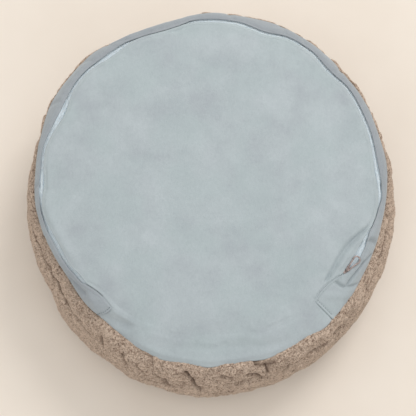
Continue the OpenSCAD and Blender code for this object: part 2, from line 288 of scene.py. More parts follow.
STRIP_FOLDS = [
    ([(319.8, -1), (319.9, 5), (320.3, 10), (321.3, 14), (323, 20), (325, 28)], 2.8, 2.0),
    ([(314, 1), (316, 9), (319, 20)], -0.9, 4.5),
    ([(334.5, 20.5), (333, 18), (331.5, 15.5), (330, 13.5), (327, 12.3), (324, 11.5), (322, 11.5)], 3.6, 1.7),
    ([(335.5, 14), (332, 10.5), (328, 9)], -0.7, 2.0),
    ([(338, 8), (338.5, 13), (338.8, 18)], 3.0, 3.6),
    ([(357, 11), (360, 13), (362.5, 17), (364.5, 23)], 2.0, 3.0),
    ([(41.5, 4), (42, 30)], 1.8, 4.0),
    ([(57, 8), (60.5, 24)], 1.9, 3.5),
    ([(65, 6), (67, 28)], 1.4, 3.0),
    ([(83.5, 3), (85.5, 26)], 2.0, 3.0),
    ([(122, 2), (128, 12), (129, 22)], 1.6, 2.5),
    ([(137, 8), (138.5, 28)], 1.6, 3.5),
    ([(155, 6), (157, 28)], 1.6, 3.5),
    ([(185, 9), (187.5, 20)], 1.8, 2.6),
    ([(203, 14), (204, 26)], 1.2, 2.6),
    ([(218.5, 20), (220, 14.5), (222.5, 11.5), (226, 9.5)], 4.0, 3.8),
    ([(229.5, 8), (232, 13), (232, 20)], -0.8, 3.0),
    ([(225.5, 2), (229.5, 1)], 1.2, 3.4),
    ([(310.9, 1.5), (312, 27)], 0.7, 0.9),
    ([(235.7, 1), (235.1, 10), (232.2, 27)], 0.7, 0.9),
]


def velvet_relief(angle, out, x, y, folds):
    """How far the cloth stands off its smooth shape, at a distance out of the zip's circle."""
    flat = np.stack([x, y, 0 * x], 1)
    relief = layered(flat, ((0.7, 75, 5), (0.25, 28, 6), (0.08, 11, 7)))
    relief += bell(out, 45) * layered(flat, ((0.8, 34, 8), (0.3, 14, 9)))
    from_zip = np.abs(out - zip_shift(angle))
    relief += zip_puff(angle) * bell(from_zip - 9, 5.5)
    far_apart = 50
    pucker = np.stack([(angle % 360) * ZIP_DEGREE, out * 0.25, np.sign(out) * far_apart], 1)
    relief += 0.75 * noise(pucker, 8.5, 10) * bell(from_zip - 6, 7)
    relief *= 1 - bell(turn_from(FAR_END, angle), 2.4) * bell(from_zip, 8)
    for line, depth, width in folds:
        middle = line[len(line) // 2][0]
        along = turn_from(middle, angle) * ZIP_DEGREE
        path = [((a - middle) * ZIP_DEGREE, o) for a, o in line]
        near = np.abs(along) < max(abs(a) for a, _ in path) + 4 * width
        relief[near] -= valley(along[near], out[near], path, depth, width)
    return relief


def crown(r):
    """Height of the base inside the zip."""
    share = np.maximum(0, r - FLAT_R) / (ZIP_R - FLAT_R)
    return CROWN_TOP - CROWN_DROP * share ** CROWN_POWER


def velvet_face(angle, out):
    """Radius, height and slope of the velvet's smooth face at a distance out of the zip's circle."""
    bend = 1 / roll_radius(angle)
    steepest = radians(88)
    turned = np.clip(out, 0, (steepest - ZIP_SLOPE) / bend)
    slope = ZIP_SLOPE + bend * turned
    rest = np.maximum(out - turned, 0)
    r = ZIP_R + (np.sin(slope) - sin(ZIP_SLOPE)) / bend + rest * np.cos(slope)
    z = ZIP_Z - (cos(ZIP_SLOPE) - np.cos(slope)) / bend - rest * np.sin(slope)
    inside = out < 0
    r = np.where(inside, ZIP_R + out * cos(ZIP_SLOPE), r)
    z = np.where(inside, crown(np.maximum(r, 0)), z)
    return r, z, slope


def beside_zip(angle, out):
    """Distance out of the zip's circle of a point given by its distance out of the wandering zip,
    whose wander is gone at strip_fade outside it and at base_fade inside it."""
    strip_fade, base_fade = 27, 40
    share = np.clip(1 - np.where(out > 0, out / strip_fade, -out / base_fade), 0, 1)
    return out + zip_shift(angle) * eased(share)


def velvet_points(angle, out, lift, folds=None):
    """Points on the velvet, lifted off its face, with the cloth's folds where they are given."""
    angle, out, lift = np.broadcast_arrays(np.asarray(angle, float), out, lift)
    shape = angle.shape
    angle, out, lift = angle.ravel(), out.ravel(), lift.ravel()
    on_circle = beside_zip(angle, out)
    r, z, slope = velvet_face(angle, on_circle)
    rad = np.radians(angle)
    if folds is not None:
        x, y, _ = about_zip(r, rad, z).T
        off_zip = np.clip((np.abs(out) - 1.5) / 4, 0, 1)
        off_seam = np.clip((cloth_width(angle) - out) / 6, 0, 1)
        lift = lift + velvet_relief(angle, on_circle, x, y, folds) * eased(off_zip) * off_seam
    return about_zip(r + lift * np.sin(slope), rad, z + lift * np.cos(slope)).reshape(shape + (3,))


def velvet_normals(angle, out):
    """Directions square to the velvet's smooth face."""
    _, _, slope = velvet_face(angle, beside_zip(angle, out))
    rad = np.radians(angle)
    return np.stack([np.sin(slope) * np.cos(rad), np.sin(slope) * np.sin(rad), np.cos(slope)], -1)


def strip_angle(angle, out):
    """The strip's ends are not square to the zip: the angle of a point of the strip's grid."""
    left = np.clip((angle - (STRIP_TO - 10)) / 10, 0, 1.2)
    right = np.clip((STRIP_FROM + 10 - angle) / 10, 0, 1.2)
    out = np.maximum(out, 0)
    slant = np.interp(out, [0, 5, 10, 15, 20, 30], [0, -0.2, -0.7, -1.5, -2.3, -3.4])
    return angle + left * slant + right * out * 0.045


def lip_profile(side, rows):
    """The folded edge of the velvet, from the hidden turned-in layer to the top, as (distance out of
    the slit's edge, lift), for one side of the slit."""
    profile = [(CLOTH_T + far, LIP_TOP - 2 * CLOTH_T + 0.02) for far in (7, 4, 1.5)]
    for k in range(rows):
        turn = radians(-90 - 180 * k / (rows - 1))
        profile.append((CLOTH_T + CLOTH_T * cos(turn), LIP_TOP - CLOTH_T + CLOTH_T * sin(turn)))
    return [(side * far, lift) for far, lift in profile]


def lip_rise(out, half_gap, angle):
    """How the face runs down or up to the rolled lip, where there is a lip."""
    away = np.abs(out) - half_gap - CLOTH_T
    in_strip = np.clip((STRIP_RUN / 2 - np.abs(turn_from(STRIP_MIDDLE, angle))) / 1.5, 0, 1)
    return in_strip * LIP_TOP * bell(away, 2.0)


# -------- mesh making

def new_piece(name, points, faces, material, body="cushion", slot=None):
    """A smooth shaded mesh object from points in mm, riding on a body."""
    mesh = bpy.data.meshes.new(name)
    points = np.reshape(points, (-1, 3)) * MM
    mesh.from_pydata(points.tolist(), [], [tuple(map(int, face)) for face in faces])
    mesh.validate()
    mesh.polygons.foreach_set("use_smooth", [True] * len(mesh.polygons))
    mesh.materials.append(material)
    mesh.update()
    piece = bpy.data.objects.new(name, mesh)
    bpy.context.scene.collection.objects.link(piece)
    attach(piece, body)
    return piece


def grid_faces(rows, columns, start=0, closed=False):
    """Quads of a grid of points numbered row by row, joined round along the columns if closed."""
    faces = []
    for i in range(rows - 1):
        for j in range(columns if closed else columns - 1):
            k = (j + 1) % columns
            a, b = start + i * columns, start + (i + 1) * columns
            faces.append((a + j, a + k, b + k, b + j))
    return faces


def ring_faces(rows, columns, start=0):
    """Faces of a grid that is closed along its columns, turned the other way round."""
    return [face[::-1] for face in grid_faces(rows, columns, start, closed=True)]


def joined(parts):
    """Points and faces of several (points, faces) parts as one."""
    points, faces, count = [], [], 0
    for part_points, part_faces in parts:
        part_points = np.asarray(part_points).reshape(-1, 3)
        points.append(part_points)
        faces += [tuple(v + count for v in f) for f in part_faces]
        count += len(part_points)
    return np.concatenate(points), faces


def thicken(piece, thickness):
    """Gives a cloth its thickness, inwards from its face, for good."""
    solid = piece.modifiers.new("thickness", "SOLIDIFY")
    solid.thickness = thickness * MM
    solid.offset = -1.0
    apply_modifiers(piece)


def apply_modifiers(piece):
    """Bakes a piece's modifiers into its mesh."""
    bpy.context.view_layer.update()
    final = piece.evaluated_get(bpy.context.evaluated_depsgraph_get())
    shaped = bpy.data.meshes.new_from_object(final)
    piece.modifiers.clear()
    old = piece.data
    piece.data = shaped
    bpy.data.meshes.remove(old)
    shaped.polygons.foreach_set("use_smooth", [True] * len(shaped.polygons))


def tube(path, radii, sides, closed, ups):
    """A tube along a path: radii are (across, along up), and ups the up direction at each point."""
    path, ups = np.asarray(path, float), np.asarray(ups, float)
    ahead = np.roll(path, -1, 0) - np.roll(path, 1, 0) if closed else np.gradient(path, axis=0)
    ahead /= np.linalg.norm(ahead, axis=1)[:, None]
    across = np.cross(ahead, ups)
    across /= np.linalg.norm(across, axis=1)[:, None]
    up = np.cross(across, ahead)
    turn = np.arange(sides) * 2 * pi / sides
    ring = across[:, None] * (radii[0] * np.cos(turn))[None, :, None]
    ring = ring + up[:, None] * (radii[1] * np.sin(turn))[None, :, None]
    points = (path[:, None] + ring).reshape(-1, 3)
    faces = grid_faces(len(path), sides, closed=True)
    last = (len(path) - 1) * sides
    if closed:
        faces += [(last + j, last + (j + 1) % sides, (j + 1) % sides, j) for j in range(sides)]
    else:
        faces += [tuple(range(sides))[::-1], tuple(range(last, last + sides))]
    return points, faces


def set_attribute(piece, name, values):
    """Keeps a number for each point of a piece, for its material."""
    layer = piece.data.attributes.new(name, "FLOAT", "POINT")
    layer.data.foreach_set("value", np.asarray(values, np.float32))


# -------- materials

def colour(red, green, blue):
    """A display colour from 0 to 255 as the linear one that shaders use."""
    shares = [part / 255 for part in (red, green, blue)]
    linear = [share / 12.92 if share < 0.0405 else ((share + 0.055) / 1.055) ** 2.4 for share in shares]
    return (*linear, 1.0)


class Nodes:
    """A material's node tree, with short ways to add to it."""

    def __init__(self, name, roughness, sheen=0.0, metallic=0.0):
        self.material = bpy.data.materials.new(name)
        self.material.use_nodes = True
        self.tree = self.material.node_tree
        self.shader = self.tree.nodes["Principled BSDF"]
        self.finish_inputs((("Roughness", roughness), ("Metallic", metallic), ("Sheen Weight", sheen)))
        self.place = self.add("ShaderNodeTexCoord").outputs["Object"]

    def plug(self, socket, value):
        """Links a node's output to an input, or sets the input to a plain value."""
        if isinstance(value, bpy.types.NodeSocket):
            self.tree.links.new(value, socket)
        elif value is not None:
            socket.default_value = value

    def finish_inputs(self, pairs):
        """Plugs values into the shader itself."""
        for key, value in pairs:
            self.plug(self.shader.inputs[key], value)

    def add(self, kind, **inputs):
        """A new node with its inputs plugged in."""
        node = self.tree.nodes.new(kind)
        for key, value in inputs.items():
            self.plug(node.inputs[key.replace("_", " ")], value)
        return node

    def attribute(self, name):
        """A number that the piece keeps for each of its points."""
        node = self.add("ShaderNodeAttribute")
        node.attribute_name = name
        return node.outputs["Fac"]

    def noise(self, size_mm, detail=3.0, rough=0.55, stretch=(1, 1, 1), distortion=0.0):
        """A noise texture with lumps about as large as size_mm."""
        place = self.add("ShaderNodeMapping", Vector=self.place, Scale=stretch).outputs["Vector"]
        return self.add("ShaderNodeTexNoise", Vector=place, Scale=1 / (size_mm * MM), Detail=detail,
                        Roughness=rough, Distortion=distortion).outputs["Fac"]

    def ramp(self, value, stops):
        """A value turned into the greys or colours of (value, shade) stops."""
        node = self.add("ShaderNodeValToRGB", Fac=value)
        elements = node.color_ramp.elements
        while len(elements) < len(stops):
            elements.new(0.5)
        for element, (place, shade) in zip(elements, stops):
            element.position = place
            element.color = shade if isinstance(shade, tuple) else (shade, shade, shade, 1)
        return node.outputs["Color"]

    def mix(self, share, first, second, blend="MIX"):
        """Two colours mixed by a share."""
        node = self.tree.nodes.new("ShaderNodeMix")
        node.data_type = "RGBA"
        node.blend_type = blend
        factor, colour_a, colour_b, result = 0, 6, 7, 2
        for key, value in ((factor, share), (colour_a, first), (colour_b, second)):
            self.plug(node.inputs[key], value)
        return node.outputs[result]

    def shaded(self, share, base, pattern, low, high):
        """A colour made a little darker and lighter by a pattern."""
        return self.mix(share, base, self.ramp(pattern, [(0.3, low), (0.7, high)]), "SOFT_LIGHT")

    def bump(self, height, depth_mm, under=None):
        """Fine relief too small for the mesh."""
        return self.add("ShaderNodeBump", Height=height, Distance=depth_mm * MM, Strength=1.0,
                        Normal=under).outputs["Normal"]

    def finish(self, base, normal, rough=None):
        """The material, with its colour, fine relief and roughness plugged in."""
        self.finish_inputs((("Base Color", base), ("Normal", normal), ("Roughness", rough)))
        return self.material


def velvet_material():
    """Short blue-grey pile: soft mottling, brushed streaks and a fine nap, and painted shade on the strip
    where its turned nap looks darker.
    """
    n = Nodes("velvet", 0.82, sheen=0.35)
    n.finish_inputs((("Sheen Roughness", 0.45), ("Sheen Tint", colour(214, 228, 232))))
    patches = n.noise(38, detail=4, rough=0.6)
    tone = n.ramp(patches, [(0.34, colour(158, 166, 171)), (0.5, colour(164, 173, 177)),
                            (0.68, colour(170, 179, 183))])
    hue = n.ramp(n.noise(60, detail=2), [(0.4, 0.0), (0.62, 0.5)])
    tinted = n.mix(hue, tone, colour(161, 174, 176))
    # Painted shade: a darker grey mixed into the strip by its nap attribute, where its turned nap looks
    # darker in this light
    nap_shade_tone = n.mix(patches, colour(136, 142, 148), colour(150, 155, 160))
    tinted = n.mix(n.attribute("nap_and_shade"), tinted, nap_shade_tone)
    streaks = n.noise(3.2, detail=3, stretch=(1, 0.7, 1), distortion=0.4)
    nap_and_shade = n.noise(0.7, detail=2)
    brushed = n.shaded(0.1, tinted, streaks, 0.25, 0.75)
    speckled = n.shaded(0.3, brushed, nap_and_shade, 0.25, 0.75)
    return n.finish(speckled, n.bump(nap_and_shade, 0.14, under=n.bump(streaks, 0.25)))


def pile_material():
    """Taupe curly pile with painted shade: dark in the pits and light on the tops by how far up a curl a
    point is, and darker in the wall's creases.
    """
    n = Nodes("curly_pile", 0.95, sheen=0.3)
    n.finish_inputs((("Sheen Roughness", 0.5), ("Sheen Tint", colour(226, 205, 186))))
    worm = [(0.30, 0.0), (0.43, 0.7), (0.5, 1.0), (0.57, 0.7), (0.70, 0.0)]
    curl = n.ramp(n.noise(2.8, detail=1.0, distortion=1.3), worm)
    small = n.ramp(n.noise(1.8, detail=1.5, distortion=1.0), worm)
    fine = n.noise(0.6, detail=2)
    strands = n.mix(0.5, curl, small)
    # Painted shade and light: lower points of a curl are painted dark and higher ones light
    mixed = n.mix(0.65, n.attribute("pile_height_shade"), strands)
    tone = n.ramp(mixed, [(0.25, colour(68, 51, 41)), (0.42, colour(128, 105, 90)),
                          (0.58, colour(179, 155, 136)), (0.78, colour(222, 201, 182))])
    # Painted shade: a darker brown mixed in where a point lies deep in a crease
    crease_shade = n.mix(strands, colour(84, 64, 52), colour(112, 90, 75))
    tone = n.mix(n.attribute("crease"), tone, crease_shade)
    patches = n.mix(n.noise(24, detail=3), colour(150, 128, 112), colour(178, 158, 142))
    base = n.shaded(0.25, n.mix(0.15, tone, patches), fine, 0.2, 0.8)
    return n.finish(base, n.bump(fine, 0.25, under=n.bump(strands, 1.1)))


def tape_material():
    """Pale blue woven polyester."""
    n = Nodes("zip_tape", 0.7, sheen=0.15)
    weave = n.noise(0.5, detail=2)
    tone = n.ramp(n.noise(6, detail=3), [(0.35, colour(220, 234, 242)), (0.65, colour(232, 242, 248))])
    return n.finish(n.shaded(0.25, tone, weave, 0.3, 0.7), n.bump(weave, 0.12))


def coil_material():
    """Pale blue nylon wire, slightly glossy."""
    n = Nodes("zip_coil", 0.38)
    base = n.ramp(n.noise(3, detail=2), [(0.35, colour(226, 238, 245)), (0.65, colour(240, 248, 252))])
    fine = n.noise(0.3, detail=1)
    return n.finish(base, n.bump(fine, 0.02), n.ramp(fine, [(0.3, 0.32), (0.7, 0.45)]))


def metal_material():
    """Plated zinc with a warm tint, rubbed bright, with fine scratches."""
    n = Nodes("slider_metal", 0.3, metallic=1.0)
    wear = n.noise(1.6, detail=5, rough=0.7)
    scratches = n.noise(0.5, detail=3, stretch=(1, 8, 1))
    base = n.ramp(wear, [(0.35, colour(128, 113, 110)), (0.65, colour(190, 175, 171))])
    rough = n.ramp(scratches, [(0.3, 0.22), (0.7, 0.42)])
    return n.finish(base, n.bump(scratches, 0.02), rough)


def thread_material(name, shade, dark):
    """Twisted sewing thread."""
    n = Nodes(name, 0.6, sheen=0.1)
    twist = n.noise(0.35, detail=1, stretch=(1, 1, 2))
    return n.finish(n.ramp(twist, [(0.3, dark), (0.7, shade)]), n.bump(twist, 0.06))


def cloth_material():
    """Plain off-white woven cotton of the inner case."""
    n = Nodes("case_cloth", 0.85)
    weave = n.noise(0.6, detail=2)
    base = n.ramp(n.noise(20, detail=3), [(0.35, colour(226, 224, 218)), (0.65, colour(238, 236, 230))])
    return n.finish(base, n.bump(weave, 0.1))


def fibre_material():
    """Fluffy white polyester fibre."""
    n = Nodes("fibre", 1.0, sheen=0.3)
    fluff = n.noise(2.5, detail=5, rough=0.7, distortion=1.0)
    base = n.ramp(fluff, [(0.3, colour(214, 214, 210)), (0.7, colour(244, 244, 240))])
    return n.finish(base, n.bump(fluff, 1.2))


def floor_material():
    """Plain pale floor."""
    n = Nodes("floor", 0.7)
    base = n.ramp(n.noise(180, detail=3), [(0.3, colour(222, 212, 200)), (0.7, colour(228, 219, 208))])
    return n.finish(base, None)


VELVET = velvet_material()
PILE = pile_material()
TAPE = tape_material()
COIL = coil_material()
METAL = metal_material()
SEAM_THREAD = thread_material("seam_thread", colour(116, 128, 133), colour(78, 90, 96))
TONAL_THREAD = thread_material("tonal_thread", colour(176, 187, 189), colour(150, 162, 165))
PILE_THREAD = thread_material("pile_thread", colour(120, 100, 86), colour(88, 70, 58))
CASE = cloth_material()
FIBRE = fibre_material()


# -------- velvet pieces

def disc_points(n):
    """Corner points of an even quad grid on a disc of radius 1, and the grid's faces."""
    a, b = np.meshgrid(np.linspace(-1, 1, n + 1), np.linspace(-1, 1, n + 1), indexing="ij")
    wide = np.abs(a) >= np.abs(b)
    size = np.where(wide, a, b)
    other = np.where(wide, b, a) / np.where(size == 0, 1, size)
    turn = np.where(wide, other * pi / 4, pi / 2 - other * pi / 4)
    points = np.stack([size * np.cos(turn), size * np.sin(turn)], 2).reshape(-1, 2)
    firsts = [i * (n + 1) + j for i in range(n) for j in range(n)]
    return points, [(k, k + n + 1, k + n + 2, k + 1) for k in firsts]


def rim_order(n):
    """The disc grid's edge points in order of angle, from -45 degrees."""
    right = [n * (n + 1) + j for j in range(n)]
    top = [i * (n + 1) + n for i in range(n, 0, -1)]
    left = list(range(n, 0, -1))
    bottom = [i * (n + 1) for i in range(n)]
    return right + top + left + bottom


DISC_CELLS = 120
DISC_R = 140.0


def base_rows(angles, lip_out):
    """Rows of the base velvet from its even round out to its lip, closer together near the lip."""
    disc_out = (DISC_R - ZIP_R) / cos(ZIP_SLOPE) + 0 * angles
    rows = []
    for step in np.concatenate([np.linspace(0, 0.8, 24)[1:], np.linspace(0.8, 1, 16)[1:]]):
        out = disc_out + (lip_out - disc_out) * step
        rows.append(velvet_points(angles, out, lip_rise(out, half_slit(angles), angles), VELVET_FOLDS))
    return rows


def ring_band(inner, outer, keep):
    """Quads between two rings of point numbers, wherever both neighbours are kept."""
    after = list(range(1, len(inner))) + [0]
    return [(inner[j], outer[j], outer[k], inner[k]) for j, k in enumerate(after) if keep[j] and keep[k]]


def drop_unused(points, faces):
    """The points that some face uses, and the faces numbered to match."""
    used = np.zeros(len(points), bool)
    used[np.unique(np.concatenate([np.array(face) for face in faces]))] = True
    renumber = np.cumsum(used) - 1
    return points[used], [tuple(renumber[list(face)]) for face in faces]


def base_cover_mesh():
    """Points and faces of the base: an even round, rings out to the lip, then the lip and the tongue."""
    flat, faces = disc_points(DISC_CELLS)
    flat = flat * DISC_R
    x, y = flat[:, 0] + ZIP_AXIS[0], flat[:, 1] + ZIP_AXIS[1]
    r = np.hypot(flat[:, 0], flat[:, 1])
    heading = np.degrees(np.arctan2(flat[:, 1], flat[:, 0])) % 360
    relief = velvet_relief(heading, (r - ZIP_R) / cos(ZIP_SLOPE), x, y, VELVET_FOLDS)
    rim = rim_order(DISC_CELLS)
    count = len(rim)
    angles = -45 + 360 * np.arange(count) / count
    gap = half_slit(angles)
    lip_out = -(gap + CLOTH_T)
    rows = base_rows(angles, lip_out)
    points = [np.stack([x, y, crown(r) + relief], 1)] + rows
    start = len(flat)
    faces += ring_band(rim, range(start, start + count), [True] * count)
    faces += ring_faces(len(rows), count, start)
    total = start + len(rows) * count
    lip_row = range(total - count, total)
    lip = [velvet_points(angles, out - gap, lift, VELVET_FOLDS) for out, lift in lip_profile(-1, 6)[-2::-1]]
    under_strip = (angles - STRIP_FROM) % 360 <= STRIP_RUN
    out_of_strip = (angles - STRIP_FROM - 1.5) % 360 > STRIP_RUN - 6.5
    for keep, layers in ((under_strip, lip), (out_of_strip, tongue_rows(angles, lip_out))):
        previous = lip_row
        for layer in layers:
            ring = range(total, total + count)
            points.append(layer)
            faces += ring_band(previous, ring, keep)
            previous = ring
            total += count
    return drop_unused(np.concatenate(points), faces)


def make_base_cover():
    """The round of velvet, its lip along the zip and its tongue out to the wall."""
    points, faces = base_cover_mesh()
    piece = new_piece("base_cover", points, faces, VELVET, slot="velvet")
    thicken(piece, CLOTH_T * 0.9)
    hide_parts("base_panel")


def tongue_rows(angles, lip_out):
    """Rows of the base velvet where no strip is sewn to it, from the zip's line out to the wall's seam.
    Near the strip's ends it dips to pass beneath them."""
    width = cloth_width(angles)
    rows = []
    for step in np.linspace(0, 1, 26)[1:]:
        out = lip_out + (width - lip_out) * step
        left_end = strip_angle(np.full(angles.shape, STRIP_TO), out)
        right_end = strip_angle(np.full(angles.shape, STRIP_FROM), out)
        clear = np.minimum((angles - left_end + 90) % 360 - 90, (right_end - angles + 90) % 360 - 90)
        under = 1 - np.clip(clear / 0.7 + 0.2, 0, 1)
        rows.append(velvet_points(angles, out, -2.2 * under * min(1, step * 6), VELVET_FOLDS))
    for turn_in, fall in ((-1.2, 2.0), (-4.0, 2.6)):
        rows.append(velvet_points(angles, width + turn_in, -fall, VELVET_FOLDS))
    return rows


def strip_grid(angles):
    """Angle, distance out of the zip and lift of the strip's grid: its folded lip, its face and the
    edge that turns in at the wall's seam."""
    gap = half_slit(angles)
    width = cloth_width(angles)
    rows = [(out + gap, lift + 0 * gap) for out, lift in lip_profile(1, 7)]
    first = gap + CLOTH_T
    for step in np.linspace(0, 1, 34)[1:]:
        out = first + (width - first) * step
        rows.append((out, lip_rise(out, gap, angles)))
    for turn_in, fall in ((1.2, 1.6), (4.0, 2.0)):
        rows.append((width - turn_in, -fall + 0 * gap))
    out, lift = (np.stack(layer) for layer in zip(*rows))
    return strip_angle(np.broadcast_to(angles, out.shape), out), out, lift


def make_strip_cover():
    """The velvet strip between the zip and the wall: folded lip, shoulder, seam and folded ends."""
    fine = np.arange(STRIP_FROM, -28, 0.3)
    plain = np.arange(-28, STRIP_TO - 16, 0.55)
    angles = np.concatenate([fine, plain, np.linspace(plain[-1] + 0.45, STRIP_TO, 42)])
    turned, out, lift = strip_grid(angles)
    body = velvet_points(turned, out, lift, STRIP_FOLDS)
    normals = velvet_normals(turned, out)
    left = rolled_end(body[:, -1], body[:, -1] - body[:, -2], normals[:, -1])
    right = rolled_end(body[:, 0], body[:, 0] - body[:, 1], normals[:, 0])
    grid = np.concatenate([right[:, ::-1], body, left], axis=1)
    piece = new_piece("strip_cover", grid, grid_faces(*grid.shape[:2]), VELVET, slot="velvet")
    # How far each column of the strip takes the painted shade of its turned nap
    nap_and_shade = np.pad(strip_nap_shade(angles), (right.shape[1], left.shape[1]), "edge")
    set_attribute(piece, "nap_and_shade", np.tile(nap_and_shade, grid.shape[0]))
    flip_if_inward(piece)
    thicken(piece, CLOTH_T * 0.9)
    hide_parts("facing_strip")


def rolled_end(edge, ahead, normals):
    """Columns that carry a cloth's end round a small roll and back beneath it."""
    roll, tuck = 0.7, 4
    ahead = ahead / np.linalg.norm(ahead, axis=1)[:, None]
    columns = []
    for turn in pi * np.arange(1, 6) / 5:
        columns.append(edge + ahead * roll * sin(turn) - normals * roll * (1 - cos(turn)))
    columns.append(edge - ahead * tuck - normals * 2 * roll)
    return np.stack(columns, 1)


def flip_if_inward(piece):
    """Turns a surface's faces to look up and out, if they look down."""
    if sum(face.normal.z * face.area for face in piece.data.polygons) < 0:
        piece.data.flip_normals()


# -------- curly pieces

def seam_ring(angles):
    """Where the velvet ends, as radius and height about Z in each direction."""
    around = np.arange(0, 360, 0.5)
    r, z, _ = velvet_face(around, cloth_width(around))
    x, y, _ = about_zip(r, np.radians(around), z).T
    heading = np.degrees(np.arctan2(y, x)) % 360
    order = np.argsort(heading)
    return [np.interp(angles, heading[order], values[order], period=360) for values in (np.hypot(x, y), z)]


# Short folds across the wall as ((angle, height) points, depth, width)
WALL_FOLDS = [
    ([(264.5, 107), (266.8, 100), (267.2, 89), (269, 78)], 4.5, 3.0),
    ([(271, 68), (276, 64), (281, 70)], 3.0, 3.0),
    ([(275, 105), (278, 101)], 3.0, 2.5),
    ([(282.5, 102), (285, 98), (286.5, 90)], 3.5, 3.0),
    ([(285, 111), (288, 108), (291, 109)], 2.8, 2.5),
    ([(288.2, 108), (288.4, 97)], 4.0, 2.6),
    ([(236.5, 95), (238, 86)], 3.2, 2.6),
    ([(245, 98), (246.5, 90), (247, 82)], 3.4, 2.8),
    ([(256, 93), (258, 85), (259.5, 74)], 3.6, 3.0),
    ([(249, 76), (256, 70), (264, 74)], 2.6, 3.4),
    ([(296, 92), (293, 82)], 3.0, 3.0),
    ([(311, 96), (314, 88)], 3.0, 2.6),
    ([(262, 93), (265, 86), (270, 88)], 2.2, 2.2), ([(277, 92), (281, 88), (284, 92)], 2.2, 2.2),
    ([(291, 99), (296, 95), (301, 98)], 2.4, 2.2), ([(250, 98), (252, 91)], 2.2, 2.2),
    ([(60, 98), (63, 84)], 1.8, 5.0), ([(118, 96), (115, 82)], 2.0, 5.0),
    ([(150, 98), (153, 80)], 1.8, 5.0), ([(28, 96), (25, 82)], 1.8, 5.0),
    ([(88, 92), (92, 70)], 1.6, 6.0), ([(185, 60), (192, 52)], 1.8, 6.0),
    ([(40, 50), (48, 40), (52, 30)], 1.6, 6.0), ([(130, 46), (138, 34)], 1.6, 6.0),
]


def wall_grid(columns, rows):
    """The wall's smooth outer face: rows run from the velvet's seam down to the sleeping face."""
    angles = 90 + 360 * np.arange(columns) / columns
    seam_r, seam_z = seam_ring(angles % 360)
    reach = wall_reach(angles)
    foot_r, foot_z = FACE_R + 1.0, 2.8
    half = rows // 2
    profile_r, profile_z = [], []
    for step in np.linspace(-0.06, 1, half):
        turn = pi / 2 * (1 - max(step, 0))
        tuck = min(step, 0) * 60
        profile_r.append(seam_r + (reach - seam_r) * cos(turn) ** 0.95 + tuck)
        profile_z.append(WIDEST_Z + (seam_z - WIDEST_Z) * sin(turn) ** 0.95 + tuck * 0.6)
    for step in np.linspace(0, 1, rows - half + 1)[1:]:
        turn = pi / 2 * step
        profile_r.append(foot_r + (reach - foot_r) * cos(turn) ** 0.75)
        profile_z.append(WIDEST_Z - (WIDEST_Z - foot_z) * sin(turn) ** 0.8 + 0 * reach)
    r, z = np.stack(profile_r), np.stack(profile_z)
    rad = np.radians(angles)
    return angles, np.stack([r * np.cos(rad), r * np.sin(rad), z], 2)


def grid_normals(grid):
    """Outward normals of a grid that is closed along its columns."""
    down = np.gradient(grid, axis=0)
    along = np.roll(grid, -1, 1) - np.roll(grid, 1, 1)
    normals = np.cross(down, along)
    return normals / np.maximum(np.linalg.norm(normals, axis=2), 1e-9)[:, :, None]


def case_rise(share):
    """How far the top of the inner case stands above its edge, at a share of the way out."""
    return 26 * (1 - share ** 4)


def wall_relief(angles, grid):
    """How far the wall's fold, wrinkles and lumps stand off its smooth face, and how deep in a
    crease each point is, for the painted shade in creases."""
    flat = grid.reshape(-1, 3)
    z = grid[:, :, 2]
    along = np.broadcast_to(angles % 360, z.shape) * WALL_DEGREE
    wander = 2.6 * noise(flat * (1, 1, 0.3), 26, 41).reshape(z.shape)
    away = z - fold_z(angles)[None, :] + wander
    depth = fold_depth(angles)[None, :]
    core = bell(away, 1.9)
    relief = -depth * (0.75 * core + 0.45 * bell(away, 9))
    crease = core * np.clip(depth / 6, 0, 1)
    for line, deep, width in WALL_FOLDS:
        line = [(a * WALL_DEGREE, height) for a, height in line]
        groove = valley(along, z, line, 1.0, width)
        relief = relief - 1.3 * deep * groove
        crease = np.maximum(crease, groove ** 1.5 * min(1, deep / 4))
    near = np.clip((wall_reach(angles) - 228) / 12, 0.15, 1)[None, :]
    split = np.clip(1 - np.abs(noise(flat, 26, 35)) / 0.09, 0, 1) * np.clip(3 * noise(flat, 24, 36), 0, 1)
    split = split.reshape(z.shape) * near
    relief = relief - 2.4 * split
    crease = np.maximum(crease, 0.75 * split ** 1.5)
    lumps = layered(flat, ((2.2, 40, 31), (1.8, 18, 32), (0.8, 9, 33)))
    return relief + lumps.reshape(z.shape) * (0.55 + 0.45 * near), crease


def spread(values, rows, columns):
    """A coarse grid's values carried over to a finer grid that is closed along its columns."""
    r = np.linspace(0, values.shape[0] - 1, rows)
    c = np.arange(columns) * values.shape[1] / columns
    r0, c0 = np.minimum(r.astype(int), values.shape[0] - 2), c.astype(int)
    c1 = (c0 + 1) % values.shape[1]
    fr, fc = (r - r0)[:, None], (c - c0)[None, :]
    top = values[r0][:, c0] * (1 - fc) + values[r0][:, c1] * fc
    low = values[r0 + 1][:, c0] * (1 - fc) + values[r0 + 1][:, c1] * fc
    return top * (1 - fr) + low * fr


def set_up_cloth(cloth, sewn_points, last_frame):
    """Cloth settings of the wall's trial: cut a little too long, sewn at its edges, pressed outwards."""
    cloth.vertex_groups.new(name="sewn").add(sewn_points, 1.0, "REPLACE")
    modifier = cloth.modifiers.new("cloth", "CLOTH")
    settings = modifier.settings
    settings.quality = 6
    settings.mass = 0.3
    settings.tension_stiffness = settings.compression_stiffness = 25
    settings.shear_stiffness = 12
    settings.bending_stiffness = 0.35
    settings.shrink_min = -0.035
    settings.vertex_group_mass = "sewn"
    settings.use_pressure = True
    settings.uniform_pressure_force = 4
    settings.effector_weights.gravity = 0
    modifier.point_cache.frame_start = 1
    modifier.point_cache.frame_end = last_frame


